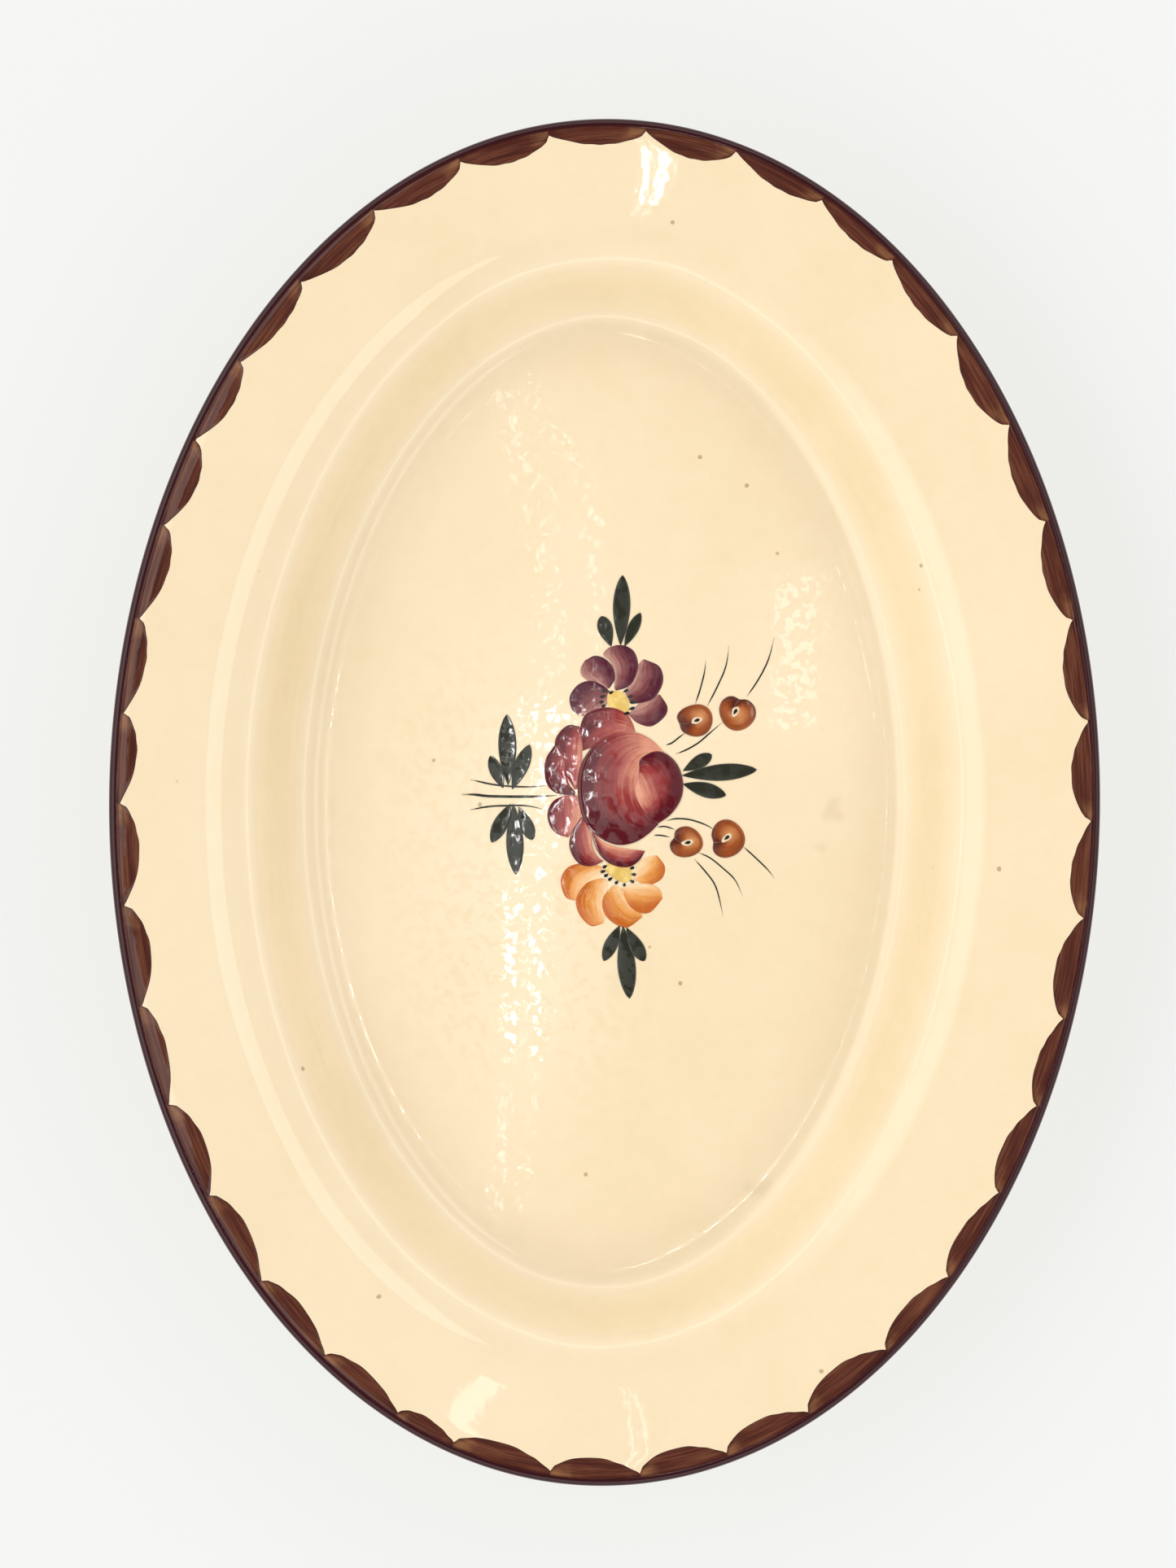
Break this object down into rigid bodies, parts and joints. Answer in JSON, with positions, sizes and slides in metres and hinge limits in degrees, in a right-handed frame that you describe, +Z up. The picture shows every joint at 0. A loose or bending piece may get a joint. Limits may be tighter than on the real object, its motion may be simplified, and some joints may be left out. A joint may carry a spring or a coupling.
{
  "type": "oval platter",
  "caption": "Oval glazed earthenware platter with a wide flat rim, a shallow well, a low foot, a brushed brown edge and a painted flower spray.",
  "frame": {"origin": "on the table, under the middle of the dish", "axes": "+Y along the platter's length, +X across it, +Z up out of the well"},
  "size_m": [0.2608, 0.3598, 0.034],
  "materials": {
    "cream_glaze": "glossy cream glaze",
    "bare_clay": "unglazed, dry",
    "brown_slip": "glossy brushed brown",
    "crimson": "glossy brushed crimson",
    "plum": "glossy brushed plum",
    "orange": "glossy brushed orange",
    "yellow": "glossy dabbed yellow",
    "leaf_green": "glossy brushed green-black",
    "rust": "glossy brushed rust"
  },
  "bodies": {
    "root": {"berry_1": "rust", "berry_2": "rust", "berry_3": "rust", "berry_4": "rust", "clay_body": "cream_glaze", "foot_ring": "bare_clay", "leaf_bottom_left": "leaf_green", "leaf_bottom_middle": "leaf_green", "leaf_bottom_right": "leaf_green", "leaf_left_lower_left": "leaf_green", "leaf_left_lower_middle": "leaf_green", "leaf_left_lower_right": "leaf_green", "leaf_left_upper_left": "leaf_green", "leaf_left_upper_middle": "leaf_green", "leaf_left_upper_right": "leaf_green", "leaf_right_left": "leaf_green", "leaf_right_middle": "leaf_green", "leaf_right_right": "leaf_green", "leaf_top_left": "leaf_green", "leaf_top_middle": "leaf_green", "leaf_top_right": "leaf_green", "orange_flower": "orange", "orange_flower_centre": "yellow", "painted_edge": "brown_slip", "plum_flower": "plum", "plum_flower_centre": "yellow", "rose": "crimson"}
  },
  "joints": []
}
